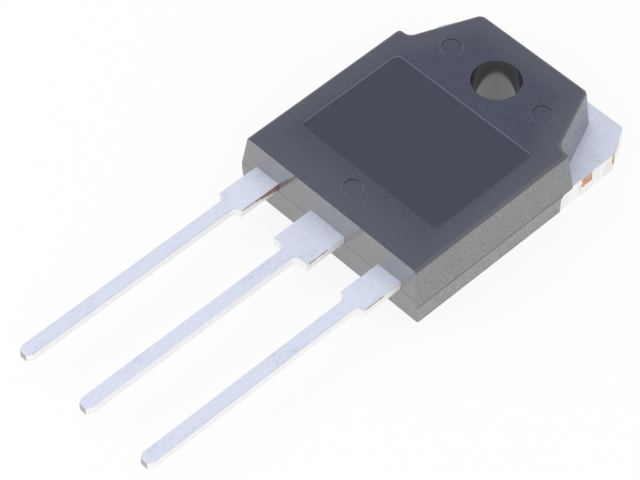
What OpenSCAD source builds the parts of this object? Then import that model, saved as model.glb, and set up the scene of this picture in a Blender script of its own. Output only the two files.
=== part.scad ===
// Three-lead power transistor in a flat moulded housing with a bare metal back.
// Millimetres. The origin is the middle of the mounting hole on the mounting (back) face,
// +Z comes out of the front face, +Y runs to the metal tab and the leads run to -Y.

/* [Moulding] */
// Width of the moulding at its side parting line
body_w = 15.8; // [14.6:0.1:20]
// Thickness from the back face to the front face
body_t = 4.5; // [4.2:0.1:6]
// Mounting hole centre to the lead face
hole_to_lead_face = 14.94; // [14.4:0.02:18]
// Mounting hole centre to the shoulders, towards the leads
hole_to_shoulder = 0.95; // [0.8:0.05:1.8]
// Mounting hole centre to the end of the moulded tab
hole_to_tab_end = 3.74; // [3.2:0.02:4.2]
// Width of the moulded tab at its end, at header level
tab_end_w = 9.7; // [8.4:0.1:10.8]
// Width of the moulded tab at the shoulders, at header level
tab_root_w = 13.7; // [12.6:0.1:14.2]
// Mould release angle of the sides and the lead face over the parting line, in degrees
draft = 7.5; // [1:0.5:8]
// Mould release angle of the tab and the shoulders, in degrees
tab_draft = 5; // [1:0.5:8]
// Mould release angle of the shallow sides under the parting line, in degrees
lower_draft = 0.5; // [0:0.5:4]
// Mould release angle of the lead face under the leads, in degrees
lower_lead_draft = 4; // [1:0.5:8]
// Step of the lower mould half behind the upper one
mould_step = 0.02; // [0.01:0.01:0.1]
// Radius along the top edges
edge_r = 0.24; // [0.08:0.02:0.3]
// Radius of the tab's end corners
tab_corner_r = 0.5; // [0.3:0.1:1.2]
// Radius of the shoulders
shoulder_r = 0.25; // [0.2:0.05:0.6]
// Radius of the inner corners where the tab leaves the shoulders
tab_root_r = 0.65; // [0.2:0.05:0.8]
// Radius of the two corners of the lead face
lead_corner_r = 0.12; // [0.06:0.02:0.3]
// Where the lower mould half ends, from the hole centre towards the leads
lower_end = 2.05; // [1.9:0.05:3]
// Radius of the lower mould half's corners beside the bare end
lower_corner_r = 0.15; // [0.1:0.05:0.5]

/* [Front face] */
// Width of the smooth marking panel
panel_w = 11.7; // [6:0.1:13]
// Length of the smooth marking panel
panel_l = 8; // [4:0.1:9]
// Hole centre to the middle of the marking panel
panel_y = 7.08; // [6.4:0.01:7.6]
// Depth of the marking panel
panel_d = 0.03; // [0.01:0.01:0.08]
// Corner radius of the marking panel
panel_r = 0.4; // [0.1:0.1:1]
// Diameter of the two ejector pin marks beside the hole
pin_d = 1.5; // [1:0.1:1.8]
// Hole centre to each of those two marks
pin_x = 4; // [3:0.1:4.3]
// Diameter of the ejector pin mark near the leads
low_pin_d = 1.35; // [1:0.05:1.8]
// Hole centre to the ejector pin mark near the leads
low_pin_y = 12.7; // [12.2:0.1:13.2]
// Depth of the ejector pin marks
pin_depth = 0.06; // [0.02:0.01:0.12]

/* [Mounting hole] */
// Bore of the mounting hole, through the moulding
hole_d = 3.2; // [2.8:0.1:3.6]
// Radius round the front rim of the hole
hole_rim_r = 0.05; // [0.05:0.05:0.2]
// Wall of moulding that lines the hole in the header
hole_liner = 0.7; // [0.5:0.1:0.9]

/* [Header] */
// Thickness of the copper header
header_t = 1.5; // [1.2:0.1:1.7]
// How far the sides of the header's bare end stand inside the moulding's side parting line
header_side_inset = 0.1; // [0:0.05:0.4]
// Hole centre to the end of the header
hole_to_header_end = 4.88; // [4.6:0.02:5.6]
// Width cut off each end corner of the header
header_chamfer_w = 1.15; // [0.6:0.05:1.5]
// Length cut off each end corner of the header
header_chamfer_l = 2.05; // [1:0.05:2.6]
// Radius of the corner on each side where the bare end runs into the moulding
header_ear_r = 0.85; // [0.4:0.05:1]
// Moulding beside the header, on each side
header_side_cover = 1.4; // [1.1:0.05:1.75]
// Hole centre to the header's end inside the moulding
hole_to_header_root = 12.7; // [12.3:0.1:13.1]
// Width of the step that locks the moulding under the header
lock_w = 0.5; // [0.3:0.1:0.7]
// Height of that step above the back face
lock_h = 0.6; // [0.4:0.1:0.9]
// Width of the cut tie bar on each side of the header
tie_w = 1.05; // [0.7:0.05:1.4]
// Hole centre to the middle of the cut tie bar, towards the tab
tie_y = 0.28; // [0:0.02:0.6]
// How far the cut tie bar stands out
tie_out = 0.06; // [0.03:0.01:0.1]
// Depth of the groove across the header between the hole and the chip
groove_d = 0.25; // [0.1:0.05:0.4]

/* [Leads] */
// Distance from lead to lead
pitch = 5.45; // [5.2:0.05:5.6]
// Thickness of the lead strip
lead_t = 0.6; // [0.5:0.05:0.75]
// Underside of the leads above the back face
lead_z = 2.2; // [2:0.05:2.4]
// Width of the narrow part of the leads
lead_w = 1; // [0.8:0.05:1.3]
// Width of the wide part of the two outer leads
outer_wide_w = 2.04; // [1.8:0.02:2.4]
// Width of the wide part of the middle lead
middle_wide_w = 3; // [2.6:0.1:3.2]
// Length of the wide part outside the moulding
wide_l = 3.1; // [2.5:0.05:4]
// Length of the narrow part
narrow_l = 16.8; // [12:0.1:22]
// Radius where the wide part runs into the narrow one
lead_neck_r = 0.45; // [0.3:0.05:0.7]
// Width cut off each side of a lead's tip
tip_w = 0.22; // [0.1:0.02:0.3]
// Length of the cut corners of a lead's tip
tip_l = 0.36; // [0.2:0.02:0.6]
// Width of the bonding posts inside the moulding
post_w = 3.6; // [3:0.1:4.2]
// Length of the bonding posts
post_l = 1.4; // [1:0.1:1.6]
// Moulding between the lead face and the bonding posts
post_cover = 0.9; // [0.7:0.1:1.1]
// Shift of the bonding posts towards the middle lead's side
post_shift = 0.1; // [0:0.05:0.2]
// Diameter of the hole that anchors a bonding post
post_hole_d = 0.6; // [0.4:0.1:0.8]

/* [Chip and wires] */
// Side of the square silicon chip
chip_w = 5; // [4:0.1:5.4]
// Thickness of the chip
chip_t = 0.25; // [0.2:0.05:0.4]
// Hole centre to the middle of the chip
chip_y = 8.2; // [7.6:0.1:8.8]
// Thickness of the solder under the chip
solder_t = 0.05; // [0.03:0.01:0.1]
// Width of the solder's fillet round the chip
solder_rim = 0.15; // [0.05:0.05:0.3]
// Diameter of the two emitter wires
emitter_wire_d = 0.38; // [0.25:0.01:0.4]
// Diameter of the base wire
base_wire_d = 0.25; // [0.2:0.01:0.3]
// Height of the wires' loops over a straight line between their feet
wire_loop_h = 0.8; // [0.5:0.1:1.1]
// Height of a wire's flattened foot, over the wire's diameter
foot_squash = 0.7; // [0.6:0.05:0.8]
// Length of a wire's flattened foot, over the wire's diameter
foot_stretch = 2.2; // [1.8:0.1:2.6]
// Width of a wire's flattened foot, over the wire's diameter
foot_spread = 1.2; // [1.1:0.05:1.4]
// Chip centre to the first emitter wire's foot, towards the emitter lead
emitter_pad_1_x = 0.5; // [0.2:0.1:0.8]
// Chip centre to the second emitter wire's foot, towards the emitter lead
emitter_pad_2_x = 1.7; // [1.4:0.1:1.8]
// Chip centre to the emitter wires' feet, towards the leads
emitter_pad_y = 0.8; // [0.4:0.1:1.2]
// Chip centre to the base wire's foot, towards the base lead
base_pad_x = 1.8; // [1.4:0.1:1.8]
// Chip centre to the base wire's foot, towards the leads
base_pad_y = 1.5; // [1.1:0.1:1.5]
// Middle of the emitter post to the first wire's foot, towards the middle lead
emitter_post_1_x = 1.1; // [0.9:0.1:1.2]
// Middle of a post to the foot of the second emitter wire or of the base wire, outwards
outer_post_x = 0.1; // [0:0.1:0.2]

/* [Hidden] */
$fn = 64;
// Overshoot of a cutting solid past the face that it opens
cut_over = 1;
// Steps in a rounded corner of an outline, and in the rounded top edge
corner_steps = 6;
edge_steps = 4;
// Share of a lead's shoulder that its fillet may take up
fillet_share = 0.98;

half_w = body_w / 2;
lead_face_y = -hole_to_lead_face;
shoulder_y = -hole_to_shoulder;
lower_end_y = -lower_end;
header_hole_d = hole_d + 2 * hole_liner;
header_w = body_w - 2 * header_side_inset;
header_inner_w = body_w - 2 * header_side_cover;
header_root_y = -hole_to_header_root;
lead_top_z = lead_z + lead_t;
wide_end_y = lead_face_y - wide_l;
tip_y = wide_end_y - narrow_l;
post_end_y = lead_face_y + post_cover;
post_mid_y = post_end_y + post_l / 2;
post_x = pitch - post_shift;
chip_top_z = header_t + solder_t + chip_t;
// The collector lead's neck rises from the header to the lead level between these two places
neck_low_y = header_root_y - lead_t / 2;
neck_high_y = neck_low_y - (lead_top_z - header_t);
// The neck climbs at this angle, so its upper bends sit this far from its lower ones
neck_angle = 45;
bend_inset = lead_t * tan(neck_angle / 2);
// Half of the exposed pad's width on the back
pad_half_w = header_inner_w / 2 - lock_w;

plastic = "#565968";
tin = "#cdd3e4";
silicon = "#6f7684";
solder = "#9a9da3";
aluminium = "#d9dadc";

// Outlines with rounded corners

function unit(v) = v / norm(v);
function turn(a, b) = a[0] * b[1] - a[1] * b[0];
// Arc of radius r that rounds the corner b between its neighbours a and c
function corner_arc(a, b, c, r) =
    let (u = unit(a - b), v = unit(c - b), half = acos(u * v) / 2,
         centre = b + unit(u + v) * r / sin(half), from = b + u * r / tan(half) - centre,
         side = turn(u, v) > 0 ? -1 : 1, sweep = 180 - 2 * half, start = atan2(from[1], from[0]))
    [for (i = [0:corner_steps])
        let (angle = start + side * sweep * i / corner_steps) centre + r * [cos(angle), sin(angle)]];
// Outline through the corners [x, y, r], each rounded by its own r
function rounded(corners) =
    let (n = len(corners), at = [for (c = corners) [c[0], c[1]]])
    [for (i = [0:n - 1])
        each (corners[i][2] > 0
            ? corner_arc(at[(i + n - 1) % n], at[i], at[(i + 1) % n], corners[i][2])
            : [at[i]])];
// Right half of an outline, bottom to top, followed by its mirror image
function mirrored(right) =
    concat(right, [for (i = [len(right) - 1:-1:0]) [-right[i][0], right[i][1], right[i][2]]]);

// Solid through a stack of outlines with equal numbers of points, each at its own height
module loft(outlines, heights) {
    n = len(outlines[0]);
    levels = len(outlines);
    points = [for (k = [0:levels - 1], p = outlines[k]) [p[0], p[1], heights[k]]];
    bottom = [for (i = [n - 1:-1:0]) i];
    top = [for (i = [0:n - 1]) (levels - 1) * n + i];
    walls = [for (k = [0:levels - 2], i = [0:n - 1])
        let (j = (i + 1) % n) [k * n + i, k * n + j, (k + 1) * n + j, (k + 1) * n + i]];
    polyhedron(points, [for (face = concat([bottom, top], walls)) [for (i = [len(face) - 1:-1:0]) face[i]]]);
}

// Moulding

// Inset of a face at height z: it grows away from the parting height both ways, at the release angle
function drafted(z, parting, angle) = abs(z - parting) * tan(angle);
// Inset of the lead face at height z
function lead_face_inset(z) = drafted(z, lead_z, z < lead_z ? lower_lead_draft : draft);
// Half width of the tab's slanted side at a distance y from the hole, at header level
tab_slope = (tab_root_w - tab_end_w) / 2 / (hole_to_tab_end - shoulder_y);
tab_slant = atan(tab_slope);
function tab_half_w(y, inset) = tab_root_w / 2 - (y - shoulder_y) * tab_slope - inset / cos(tab_slant);

// Outline of the upper half: the insets are those of the sides, the tab and shoulders, and the lead face
function upper_outline(inset, tab_inset, lead_inset) = rounded(mirrored([
    [half_w - inset, lead_face_y + lead_inset, lead_corner_r],
    [half_w - inset, shoulder_y - tab_inset, shoulder_r],
    [tab_half_w(shoulder_y - tab_inset, tab_inset), shoulder_y - tab_inset, tab_root_r],
    [tab_half_w(hole_to_tab_end - tab_inset, tab_inset), hole_to_tab_end - tab_inset, tab_corner_r]
]));
// Outline of the lower half, which ends short of the header's bare end
function lower_outline(inset, lead_inset) = rounded(mirrored([
    [half_w - inset, lead_face_y + lead_inset, lead_corner_r],
    [half_w - inset, lower_end_y, lower_corner_r]
]));

module upper_half() {
    rounding = [for (i = [0:edge_steps]) 90 * i / edge_steps];
    straight_top = body_t - edge_r;
    heights = concat([header_t, lead_z], [for (a = rounding) straight_top + edge_r * sin(a)]);
    rolls = concat([0, 0], [for (a = rounding) edge_r * (1 - cos(a))]);
    loft([for (i = [0:len(heights) - 1])
        let (straight = min(heights[i], straight_top))
            upper_outline(
                drafted(straight, header_t, draft) + rolls[i],
                drafted(straight, header_t, tab_draft) + rolls[i],
                lead_face_inset(heights[i])
            )], heights);
}

module lower_half() {
    heights = [0, header_t];
    loft([for (z = heights)
        lower_outline(mould_step + drafted(z, header_t, lower_draft), lead_face_inset(z))], heights);
}

// Web of moulding under a shoulder, over the rounded corner of the header's bare end
module shoulder_web(side) {
    web_w = header_w / 2 - mould_step - header_inner_w / 2;
    web_h = header_ear_r;
    translate([side * (header_inner_w + web_w) / 2, lower_end_y + web_h / 2, header_t - web_h / 2])
        cube([web_w, web_h, web_h], center = true);
}

// Ring of moulding that lines the header's hole
module hole_lining() {
    cylinder(d = header_hole_d, h = header_t);
}

module hole_cut() {
    translate([0, 0, -cut_over]) cylinder(d = hole_d, h = body_t + 2 * cut_over);
    translate([0, 0, body_t - hole_rim_r]) rotate_extrude() difference() {
        square([hole_d / 2 + hole_rim_r, hole_rim_r + cut_over]);
        translate([hole_d / 2 + hole_rim_r, 0]) circle(r = hole_rim_r);
    }
}

module marking_panel_cut() {
    translate([0, -panel_y, body_t - panel_d])
        linear_extrude(panel_d + cut_over)
            polygon(rounded(mirrored([
                [panel_w / 2, -panel_l / 2, panel_r],
                [panel_w / 2, panel_l / 2, panel_r]
            ])));
}

module pin_mark_cut(x, y, d) {
    translate([x, y, body_t - pin_depth]) cylinder(d = d, h = pin_depth + cut_over);
}

module moulded_body() {
    color(plastic) difference() {
        union() {
            upper_half();
            lower_half();
            shoulder_web(-1);
            shoulder_web(1);
            hole_lining();
        }
        hole_cut();
        marking_panel_cut();
        pin_mark_cut(-pin_x, 0, pin_d);
        pin_mark_cut(pin_x, 0, pin_d);
        pin_mark_cut(0, -low_pin_y, low_pin_d);
        header_with_collector_lead();
        base_lead();
        emitter_lead();
        chip_solder();
        transistor_chip();
        emitter_wire_1();
        emitter_wire_2();
        base_wire();
    }
}

// Header

// Right half of the header's outline, bottom to top, at the given half width inside the moulding
function header_side(inner_half_w, root_y) = [
    [inner_half_w, root_y, 0],
    [inner_half_w, lower_end_y, 0],
    [header_w / 2, lower_end_y, 0],
    [header_w / 2, hole_to_header_end - header_chamfer_l, 0],
    [header_w / 2 - header_chamfer_w, hole_to_header_end, 0]
];

module header_plate() {
    linear_extrude(lock_h)
        polygon(rounded(mirrored(header_side(pad_half_w, header_root_y + lock_w))));
    translate([0, 0, lock_h])
        linear_extrude(header_t - lock_h)
            polygon(rounded(mirrored(header_side(header_inner_w / 2, header_root_y))));
}

// Cut that rounds the upper inner corner of one side of the bare end
module ear_corner_cut(side) {
    ear_w = (header_w - header_inner_w) / 2;
    translate([side * (header_inner_w / 2 + ear_w / 2 + cut_over / 2), lower_end_y, header_t - header_ear_r])
        rotate([90, 0, 90])
            linear_extrude(ear_w + cut_over, center = true)
                difference() {
                    translate([-cut_over, 0]) square([header_ear_r + cut_over, header_ear_r + cut_over]);
                    translate([header_ear_r, 0]) circle(r = header_ear_r);
                }
}

// Stub left where the strip's tie bar was cut off
module tie_stub(side) {
    translate([side * header_w / 2, tie_y, header_t / 2])
        cube([2 * tie_out, tie_w, header_t], center = true);
}

// Groove across the header that keeps solder and damp from the hole
module header_groove() {
    groove_y = (shoulder_y - chip_y + chip_w / 2 + solder_rim) / 2;
    translate([0, groove_y, header_t])
        rotate([0, 90, 0])
            linear_extrude(header_inner_w - 2 * lock_w, center = true)
                polygon([[-cut_over, -groove_d - cut_over], [groove_d, 0], [-cut_over, groove_d + cut_over]]);
}

// Neck that rises from the header to the lead level, as a profile across the bends
module collector_neck() {
    low_z = header_t - lead_t;
    rotate([90, 0, 90])
        linear_extrude(middle_wide_w, center = true)
            polygon([
                [header_root_y + lead_t, low_z], [header_root_y + lead_t, header_t],
                [neck_low_y + bend_inset, header_t], [neck_high_y + bend_inset, lead_top_z],
                [lead_face_y, lead_top_z], [lead_face_y, lead_z],
                [neck_high_y, lead_z], [neck_low_y, low_z]
            ]);
}

module header_with_collector_lead() {
    color(tin) {
        difference() {
            union() {
                header_plate();
                tie_stub(-1);
                tie_stub(1);
            }
            translate([0, 0, -cut_over]) cylinder(d = header_hole_d, h = header_t + 2 * cut_over);
            header_groove();
            ear_corner_cut(-1);
            ear_corner_cut(1);
        }
        collector_neck();
        outer_lead(0, middle_wide_w);
    }
}

// Leads

// Right half of a lead's outline outside the moulding, from the tip up to the lead face
function lead_side(wide_w) =
    let (shoulder_w = (wide_w - lead_w) / 2) [
        [lead_w / 2 - tip_w, tip_y, 0],
        [lead_w / 2, tip_y + tip_l, 0],
        [lead_w / 2, wide_end_y, min(lead_neck_r, shoulder_w * fillet_share)],
        [wide_w / 2, wide_end_y, 0],
        [wide_w / 2, lead_face_y, 0]
    ];

module outer_lead(x, wide_w) {
    translate([x, 0, lead_z])
        linear_extrude(lead_t)
            polygon(rounded(mirrored(lead_side(wide_w))));
}

// Post inside the moulding that a wire is bonded to, with a hole that anchors it
module bonding_post(side) {
    translate([0, 0, lead_z]) difference() {
        union() {
            translate([side * post_x - post_w / 2, post_end_y, 0]) cube([post_w, post_l, lead_t]);
            translate([side * pitch - outer_wide_w / 2, lead_face_y, 0])
                cube([outer_wide_w, post_cover + post_l / 2, lead_t]);
        }
        translate([side * (post_x + post_w / 2 - post_hole_d), post_mid_y, -cut_over])
            cylinder(d = post_hole_d, h = lead_t + 2 * cut_over);
    }
}

module base_lead() {
    color(tin) {
        outer_lead(-pitch, outer_wide_w);
        bonding_post(-1);
    }
}

module emitter_lead() {
    color(tin) {
        outer_lead(pitch, outer_wide_w);
        bonding_post(1);
    }
}

// Chip and wires

module chip_solder() {
    color(solder)
        translate([0, -chip_y, header_t + solder_t / 2])
            cube([chip_w + 2 * solder_rim, chip_w + 2 * solder_rim, solder_t], center = true);
}

module transistor_chip() {
    color(silicon)
        translate([0, -chip_y, header_t + solder_t + chip_t / 2])
            cube([chip_w, chip_w, chip_t], center = true);
}

// Bond wire of diameter d from the chip at a to the post at b, as a round loop between two flat feet
module bond_wire(a, b, d) {
    foot_h = d * foot_squash;
    foot_l = d * foot_stretch;
    foot_w = d * foot_spread;
    run = norm([b[0] - a[0], b[1] - a[1]]);
    rise = b[2] - a[2];
    chord = norm([run, rise]);
    tilt = atan2(rise, run);
    loop_r = (chord * chord / 4 + wire_loop_h * wire_loop_h) / 2 / wire_loop_h;
    half_sweep = asin(chord / 2 / loop_r);
    mid = [run / 2, rise / 2 + foot_h];
    centre = mid - loop_r * cos(half_sweep) * [-sin(tilt), cos(tilt)];
    translate(a) rotate([0, 0, atan2(b[1] - a[1], b[0] - a[0])]) {
        translate([0, 0, foot_h / 2]) cube([foot_l, foot_w, foot_h], center = true);
        translate([run, 0, rise + foot_h / 2]) cube([foot_l, foot_w, foot_h], center = true);
        translate([centre[0], 0, centre[1]]) rotate([90, 0, 0])
            rotate([0, 0, 90 + tilt - half_sweep])
                rotate_extrude(angle = 2 * half_sweep)
                    translate([loop_r, 0]) circle(d = d, $fn = 20);
    }
}

// Places of the wires' feet: on the chip, and on the bonding post of the given side
function chip_foot(x, y) = [x, -chip_y - y, chip_top_z];
function post_foot(side, x) = [side * (post_x + x), post_mid_y, lead_top_z];

module emitter_wire_1() {
    color(aluminium)
        bond_wire(chip_foot(emitter_pad_1_x, emitter_pad_y), post_foot(1, -emitter_post_1_x), emitter_wire_d);
}

module emitter_wire_2() {
    color(aluminium)
        bond_wire(chip_foot(emitter_pad_2_x, emitter_pad_y), post_foot(1, outer_post_x), emitter_wire_d);
}

module base_wire() {
    color(aluminium)
        bond_wire(chip_foot(-base_pad_x, base_pad_y), post_foot(-1, outer_post_x), base_wire_d);
}

moulded_body();
header_with_collector_lead();
base_lead();
emitter_lead();
transistor_chip();
chip_solder();
emitter_wire_1();
emitter_wire_2();
base_wire();
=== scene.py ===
"""Three-lead power transistor in a flat epoxy moulding, lying on its metal back on a pale studio floor.

Every length in this file is in millimetres until it goes into a mesh, a node, a lamp or the camera. The
object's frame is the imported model's: the middle of the mounting hole on the back face is the origin, +Z
leaves the front face, +Y runs to the metal tab and the leads run to -Y.
"""

from __future__ import annotations

import logging
from collections.abc import Mapping, Sequence
from dataclasses import dataclass
from enum import Enum
from typing import Any

import bmesh
import bpy
import numpy as np
from mathutils import Matrix
from mathutils.geometry import delaunay_2d_cdt


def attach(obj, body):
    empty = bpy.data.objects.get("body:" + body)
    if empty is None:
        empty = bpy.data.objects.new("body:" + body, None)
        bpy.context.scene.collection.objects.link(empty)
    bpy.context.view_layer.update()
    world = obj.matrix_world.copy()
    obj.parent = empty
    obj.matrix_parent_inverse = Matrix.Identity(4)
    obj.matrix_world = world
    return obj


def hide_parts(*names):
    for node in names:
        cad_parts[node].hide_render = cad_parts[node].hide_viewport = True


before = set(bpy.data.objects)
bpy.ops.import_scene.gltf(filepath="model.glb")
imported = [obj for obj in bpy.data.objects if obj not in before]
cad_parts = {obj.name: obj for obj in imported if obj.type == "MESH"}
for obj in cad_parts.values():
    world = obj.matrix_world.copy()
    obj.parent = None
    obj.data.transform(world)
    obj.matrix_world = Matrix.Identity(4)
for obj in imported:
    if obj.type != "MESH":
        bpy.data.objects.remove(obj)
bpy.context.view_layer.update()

log = logging.getLogger("power_transistor")

MM = 0.001
BODY = "root"
# Mesh attribute that carries the painted sheen of the front's border
PAINTED_SHEEN = "painted_sheen"

# Place of the face that the leads leave, at its parting line
LEAD_FACE_Y = -14.94

Array = np.ndarray
Pair = tuple[float, float]
Triple = tuple[float, float, float]
BMesh = bmesh.types.BMesh
Mesh = bpy.types.Mesh
Object = bpy.types.Object
Material = bpy.types.Material
Tree = bpy.types.NodeTree
Node = bpy.types.Node
Socket = bpy.types.NodeSocket


# Colour and nodes


def linear(hex_code: str) -> tuple[float, float, float, float]:
    """Turns an sRGB colour into Blender's linear one.

    Args:
        hex_code: Colour as "#rrggbb".

    Returns:
        Linear red, green, blue and an alpha of 1.
    """
    srgb = np.array([int(hex_code[i : i + 2], 16) for i in (1, 3, 5)]) / 255
    straight = np.where(srgb <= 0.04045, srgb / 12.92, ((srgb + 0.055) / 1.055) ** 2.4)
    return (*straight.tolist(), 1.0)


def add_node(tree: Tree, kind: str, inputs: Mapping[str | int, Any] | None = None, **settings: Any) -> Node:
    """Adds a node with its settings and its links.

    Args:
        tree: Node tree that the node goes into.
        kind: Blender's name of the node.
        inputs: Value, or output socket to link, for each input by name or place.
        **settings: Attributes of the node.

    Returns:
        The new node.
    """
    node = tree.nodes.new(kind)
    for key, value in settings.items():
        setattr(node, key, value)
    for key, value in (inputs or {}).items():
        if isinstance(value, Socket):
            tree.links.new(value, node.inputs[key])
        else:
            node.inputs[key].default_value = value
    return node


def new_material(name: str) -> tuple[Material, Tree, Node]:
    """Makes an empty node material.

    Args:
        name: Name of the material.

    Returns:
        The material, its node tree and its output node.
    """
    material = bpy.data.materials.new(name)
    material.use_nodes = True
    tree = material.node_tree
    tree.nodes.clear()
    return material, tree, add_node(tree, "ShaderNodeOutputMaterial")


def per_mm(feature_mm: float) -> float:
    """Gives the noise scale, on Object coordinates in metres, whose features have the given size."""
    return 1.0 / (feature_mm * MM)


# Finishes

# Noise lies round 0.5: most of it in the first span, and nearly all of it in the second
MOST = {"From Min": 0.35, "From Max": 0.65}
NEARLY_ALL = {"From Min": 0.3, "From Max": 0.7}

# Slow clouds of tone in the epoxy: their size, and their share in colour and in gloss
CLOUD_MM = 3.5
CLOUD_SHARE = 0.3
CLOUD_GLOSS = 0.06
# Share of its colour that the border's painted sheen takes on at the outline
PAINTED_SHEEN_SHARE = 0.45
# Painted shadow line along the parting line: half its width, its share over the epoxy, and its colour
PARTING_SHADOW_HALF_MM = 0.06
PARTING_SHADOW_SHARE = 0.8
PARTING_SHADOW_COLOUR = "#2e2f33"

# Stains on the metal: their size in grains, the softness of their edge, and the share of the second colour
# in clean metal and what a stain adds to it
STAIN_GRAINS = 12
STAIN_EDGE = 0.16
CLEAN_SHARE = 0.3
STAIN_SHARE = 0.4
# Share by which the grain changes the gloss of the metal
GRAIN_GLOSS = 0.15
# The edge of a bared place strays by half of this to each side, in waves of this length
RAGGED_MM = 0.3
# Streaks of plating left over a bared place: their width, and the squeeze that draws them out upwards
STREAK_MM = 0.14
STREAK_SQUEEZE = 0.15
# How much of the bare metal those streaks let through
STREAK_SPAN = {"From Min": 0.36, "From Max": 0.6, "To Min": 0.7, "To Max": 1.0}


@dataclass(frozen=True)
class Finish:
    """What every finish has: two colours, a roughness and a grain.

    Attributes:
        name: Name of the material.
        colour: Main colour.
        second: Colour that the grain, or the stains in it, bring in.
        roughness: Middle roughness of the surface.
        grain_mm: Spacing of the grain.
        grain_depth_mm: Depth of the grain, close to zero on a polished face.
    """

    name: str
    colour: str
    second: str
    roughness: float
    grain_mm: float
    grain_depth_mm: float

    def surface(
        self, tree: Tree, grain: Socket, waver: Socket, stray: float, own: Mapping[str, Any]
    ) -> Socket:
        """Makes the shader, with a gloss that wavers with a pattern, and with the grain as bump.

        Args:
            tree: Node tree of the material.
            grain: Pattern of the bump.
            waver: Pattern of the gloss.
            stray: Share by which the roughness strays to each side.
            own: What else the shader takes, by input.

        Returns:
            Output of the shader.
        """
        reach = {"To Min": self.roughness * (1 - stray), "To Max": self.roughness * (1 + stray)}
        gloss = add_node(tree, "ShaderNodeMapRange", {"Value": waver, **NEARLY_ALL, **reach})
        depth = {"Height": grain, "Strength": 1.0, "Distance": self.grain_depth_mm * MM}
        relief = add_node(tree, "ShaderNodeBump", depth)
        inputs = {**own, "Roughness": gloss.outputs["Result"], "Normal": relief.outputs["Normal"]}
        return add_node(tree, "ShaderNodeBsdfPrincipled", inputs).outputs[0]


@dataclass(frozen=True)
class MouldedEpoxy(Finish):
    """Silica-filled epoxy as it left the mould: the finish of the steel shows in it.

    The main colour is that of the epoxy, and the second one is where grains of filler scatter the light.

    Attributes:
        speckle: Share by which the grain changes the colour.
        parting_z: Height of the mould's parting line on this face, where a painted shadow line runs, or
            nothing where it has none.
        ior: Index of refraction; a polished or resin-rich skin reflects more.
        painted_sheen: Colour of the painted sheen on the border, or nothing where the face has none.
    """

    speckle: float
    parting_z: float | None = None
    ior: float = 1.55
    painted_sheen: str | None = None

    def with_painted_sheen(self, tree: Tree, colour: Socket) -> Socket:
        """Paints a sheen on the border, paler towards the outline.

        Args:
            tree: Node tree of the material.
            colour: Colour of the face without the painted sheen.

        Returns:
            The colour mixed by the mesh's own painted sheen attribute, or as it was where the face has no
            sheen.
        """
        if self.painted_sheen is None:
            return colour
        reach = add_node(tree, "ShaderNodeAttribute", attribute_name=PAINTED_SHEEN).outputs["Fac"]
        share = add_node(tree, "ShaderNodeMath", {0: reach, 1: PAINTED_SHEEN_SHARE}, operation="MULTIPLY")
        # A Mix node's colour inputs share their names with its number inputs, so they are set by place
        ends = {0: share.outputs[0], 6: colour, 7: linear(self.painted_sheen)}
        return add_node(tree, "ShaderNodeMix", ends, data_type="RGBA").outputs[2]

    def with_parting_shadow(self, tree: Tree, place: Socket, colour: Socket) -> Socket:
        """Darkens a hair-thin band along the parting line: a painted shadow of the small step there.

        Args:
            tree: Node tree of the material.
            place: Object coordinates.
            colour: Colour to draw over.

        Returns:
            The colour with the line, or as it was where the face has no parting line.
        """
        if self.parting_z is None:
            return colour
        height = add_node(tree, "ShaderNodeSeparateXYZ", {0: place}).outputs["Z"]
        gap = {0: height, 1: self.parting_z * MM, 2: PARTING_SHADOW_HALF_MM * MM}
        line = add_node(tree, "ShaderNodeMath", gap, operation="COMPARE").outputs[0]
        share = add_node(tree, "ShaderNodeMath", {0: line, 1: PARTING_SHADOW_SHARE}, operation="MULTIPLY")
        ends = {0: share.outputs[0], 6: colour, 7: linear(PARTING_SHADOW_COLOUR)}
        return add_node(tree, "ShaderNodeMix", ends, data_type="RGBA").outputs[2]

    def material(self) -> Material:
        """Builds the material: fine grain and slow clouds of tone, and the grain as bump too."""
        material, tree, output = new_material(self.name)
        place = add_node(tree, "ShaderNodeTexCoord").outputs["Object"]
        fine = {"Vector": place, "Scale": per_mm(self.grain_mm), "Detail": 3.0, "Roughness": 0.65}
        grain = add_node(tree, "ShaderNodeTexNoise", fine).outputs["Fac"]
        slow = {"Vector": place, "Scale": per_mm(CLOUD_MM), "Detail": 4.0, "Roughness": 0.5}
        clouds = add_node(tree, "ShaderNodeTexNoise", slow).outputs["Fac"]
        reach = {"To Min": 0.5 - self.speckle / 2, "To Max": 0.5 + self.speckle / 2}
        spread = add_node(tree, "ShaderNodeMapRange", {"Value": grain, **MOST, **reach}).outputs["Result"]
        sum_of = {0: clouds, 1: CLOUD_SHARE, 2: spread}
        tone = add_node(tree, "ShaderNodeMath", sum_of, operation="MULTIPLY_ADD", use_clamp=True)
        ends = {0: tone.outputs[0], 6: linear(self.colour), 7: linear(self.second)}
        colour = add_node(tree, "ShaderNodeMix", ends, data_type="RGBA").outputs[2]
        own = {"Base Color": self.with_parting_shadow(tree, place, self.with_painted_sheen(tree, colour)), "IOR": self.ior}
        tree.links.new(self.surface(tree, grain, clouds, CLOUD_GLOSS, own), output.inputs["Surface"])
        return material


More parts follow.
